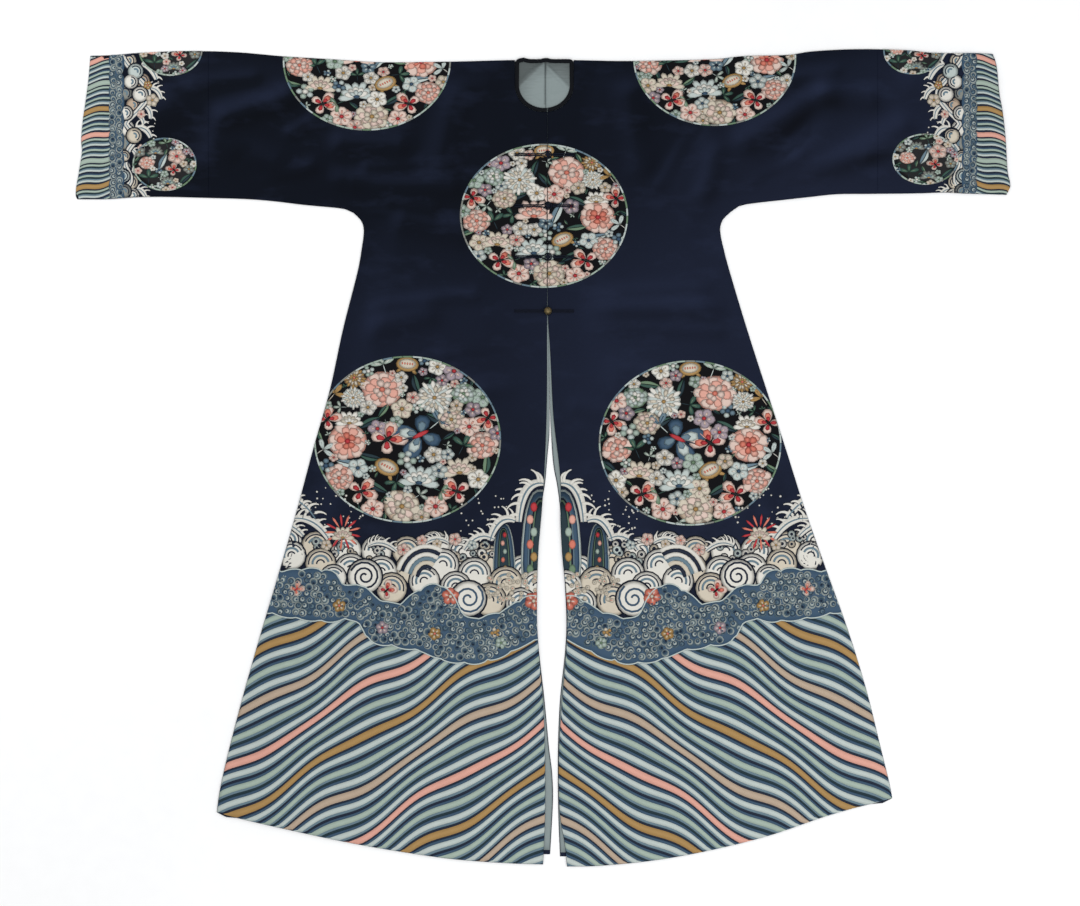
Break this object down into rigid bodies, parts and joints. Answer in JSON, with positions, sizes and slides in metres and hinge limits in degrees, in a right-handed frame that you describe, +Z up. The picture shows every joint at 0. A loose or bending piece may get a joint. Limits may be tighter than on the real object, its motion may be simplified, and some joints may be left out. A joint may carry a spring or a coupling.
{
  "type": "surcoat",
  "caption": "Long-sleeved silk surcoat laid out flat, opening down the centre front, with round neck, wide hem, loop and knot closures and a centre vent.",
  "frame": {"origin": "on the surface that the garment lies on, under the middle of its laid-out plan", "axes": "+Z up off that surface, +Y towards the neck, +X towards the wearer's left sleeve"},
  "size_m": [1.6064, 1.4046, 0.018],
  "materials": {
    "outer_silk": "dark blue-black silk with woven flowers, waves and slanting stripes",
    "lining_silk": "plain grey-green silk",
    "binding_silk": "black silk piping",
    "cord_silk": "dark silk cord and knots",
    "gilt_brass": "worn gilding on a hollow ball"
  },
  "bodies": {
    "root": {"front_right": "outer_silk", "front_left": "outer_silk", "back_right": "outer_silk", "back_left": "outer_silk", "sleeve_right": "outer_silk", "sleeve_left": "outer_silk", "lining_right": "lining_silk", "lining_left": "lining_silk", "neckband": "binding_silk", "loop_1": "cord_silk", "loop_2": "cord_silk", "loop_3": "cord_silk", "loop_4": "cord_silk", "tab_1": "cord_silk", "tab_2": "cord_silk", "tab_3": "cord_silk", "tab_4": "cord_silk", "button_1": "cord_silk", "button_2": "cord_silk", "button_3": "cord_silk", "button_4": "gilt_brass"}
  },
  "joints": []
}
